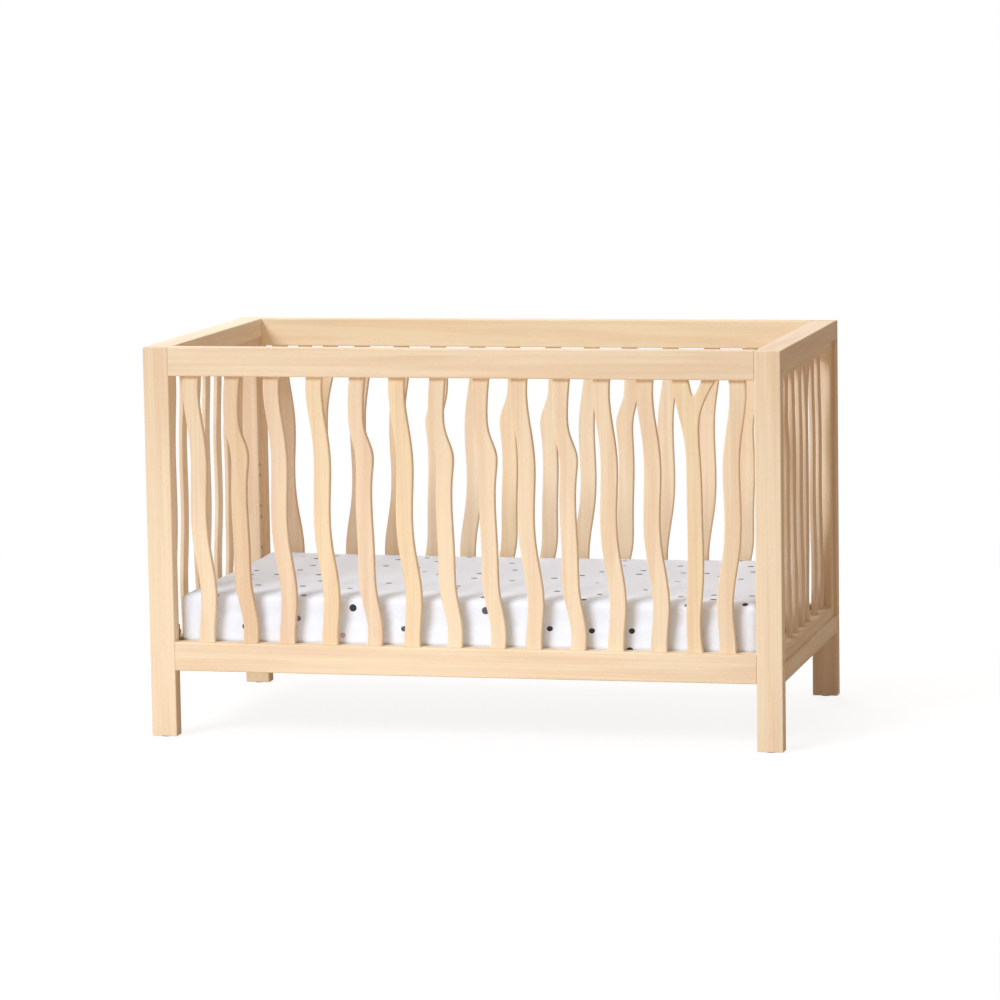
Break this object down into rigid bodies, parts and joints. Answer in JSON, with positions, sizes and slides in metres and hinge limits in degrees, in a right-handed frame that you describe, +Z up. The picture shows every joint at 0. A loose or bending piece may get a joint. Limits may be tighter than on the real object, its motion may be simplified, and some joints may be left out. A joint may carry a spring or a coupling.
{
  "type": "baby crib",
  "caption": "Full-size wooden baby crib with fixed sides, wavy branch-like slats, a height-adjustable slatted base, and a mattress in a fitted sheet.",
  "frame": {"origin": "on the floor, under the middle of the crib's overall box", "axes": "+X along the crib's length, towards its right end; -Y is the front, where the forked slat is near the right end; +Z up"},
  "size_m": [1.448, 0.78, 0.885],
  "materials": {
    "frame_wood": "satin",
    "dowel_wood": "matte",
    "base_wood": "matte",
    "zinc_steel": "satin",
    "insert_brass": "satin",
    "bracket_steel": "matte",
    "glide_plastic": "matte",
    "mattress_fabric": "matte",
    "sheet_cotton": "matte"
  },
  "bodies": {
    "frame": {"front_left_post": "frame_wood", "front_right_post": "frame_wood", "rear_left_post": "frame_wood", "rear_right_post": "frame_wood", "front_top_rail": "frame_wood", "front_bottom_rail": "frame_wood", "rear_top_rail": "frame_wood", "rear_bottom_rail": "frame_wood", "front_slat_01": "frame_wood", "front_slat_02": "frame_wood", "front_slat_03": "frame_wood", "front_slat_04": "frame_wood", "front_slat_05": "frame_wood", "front_slat_06": "frame_wood", "front_slat_07": "frame_wood", "front_slat_08": "frame_wood", "front_slat_09": "frame_wood", "front_slat_10": "frame_wood", "front_slat_11": "frame_wood", "front_slat_12": "frame_wood", "front_slat_13": "frame_wood", "front_slat_14": "frame_wood", "rear_slat_01": "frame_wood", "rear_slat_02": "frame_wood", "rear_slat_03": "frame_wood", "rear_slat_04": "frame_wood", "rear_slat_05": "frame_wood", "rear_slat_06": "frame_wood", "rear_slat_07": "frame_wood", "rear_slat_08": "frame_wood", "rear_slat_09": "frame_wood", "rear_slat_10": "frame_wood", "rear_slat_11": "frame_wood", "rear_slat_12": "frame_wood", "rear_slat_13": "frame_wood", "rear_slat_14": "frame_wood", "left_cap_rail": "frame_wood", "left_lower_rail": "frame_wood", "left_inner_top_rail": "frame_wood", "left_inner_bottom_rail": "frame_wood", "left_stiles": "frame_wood", "left_end_slats": "frame_wood", "right_cap_rail": "frame_wood", "right_lower_rail": "frame_wood", "right_inner_top_rail": "frame_wood", "right_inner_bottom_rail": "frame_wood", "right_stiles": "frame_wood", "right_end_slats": "frame_wood", "rail_bolts": "zinc_steel", "rail_inserts": "zinc_steel", "frame_dowels": "dowel_wood", "foot_glides": "glide_plastic", "threaded_inserts": "insert_brass", "support_brackets": "bracket_steel", "bracket_bolts": "zinc_steel"},
    "mattress_base": {"base_side_rails": "base_wood", "base_end_rails": "base_wood", "base_slats": "base_wood"},
    "mattress_body": {"mattress": "mattress_fabric", "fitted_sheet": "sheet_cotton"}
  },
  "joints": [
    {"name": "base_height", "type": "slide", "parent": "frame", "child": "mattress_base", "axis": [0, 0, 1], "range_m": [0, 0.3]},
    {"name": "mattress_lift", "type": "slide", "parent": "mattress_base", "child": "mattress_body", "axis": [0, 0, 1], "range_m": [0, 0.75]}
  ]
}
